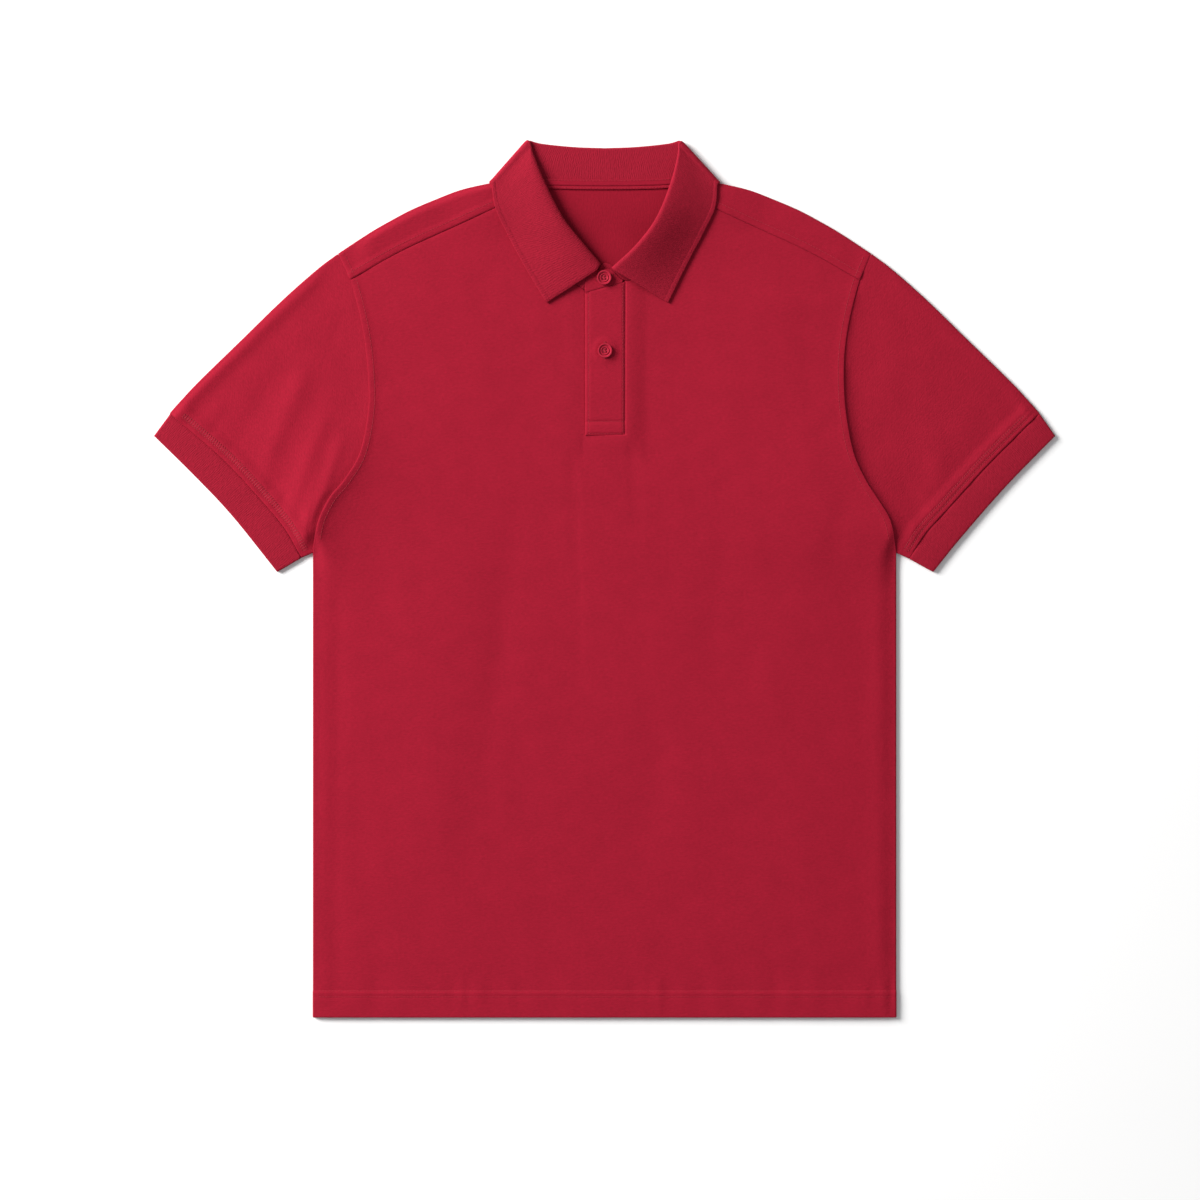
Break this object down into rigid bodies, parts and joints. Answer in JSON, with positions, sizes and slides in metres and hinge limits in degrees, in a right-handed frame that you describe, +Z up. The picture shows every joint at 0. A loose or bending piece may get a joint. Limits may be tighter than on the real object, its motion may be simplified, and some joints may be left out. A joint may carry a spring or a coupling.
{
  "type": "polo shirt",
  "caption": "Short-sleeved polo shirt in plain red pique, laid flat and face up, with a turned-down rib collar, a buttoned placket and rib cuffs.",
  "frame": {"origin": "centre of the outline, on the surface that the shirt lies on", "axes": "+X to the viewer's right (the wearer's left), +Y from the hem to the collar, +Z up from the surface through the front"},
  "size_m": [0.8038, 0.7814, 0.0121],
  "materials": {
    "pique": "matt pique knit",
    "rib_knit": "matt fine rib knit",
    "tape": "matt woven tape",
    "button": "satin"
  },
  "bodies": {
    "root": {"front_panel": "pique", "back_panel": "pique", "sleeve_left": "pique", "sleeve_right": "pique", "cuff_left": "rib_knit", "cuff_right": "rib_knit", "collar": "rib_knit", "collar_band_over": "pique", "collar_band_under": "pique", "placket_over": "pique", "placket_under": "pique", "neck_tape": "tape", "button_top": "button", "button_lower": "button"}
  },
  "joints": []
}
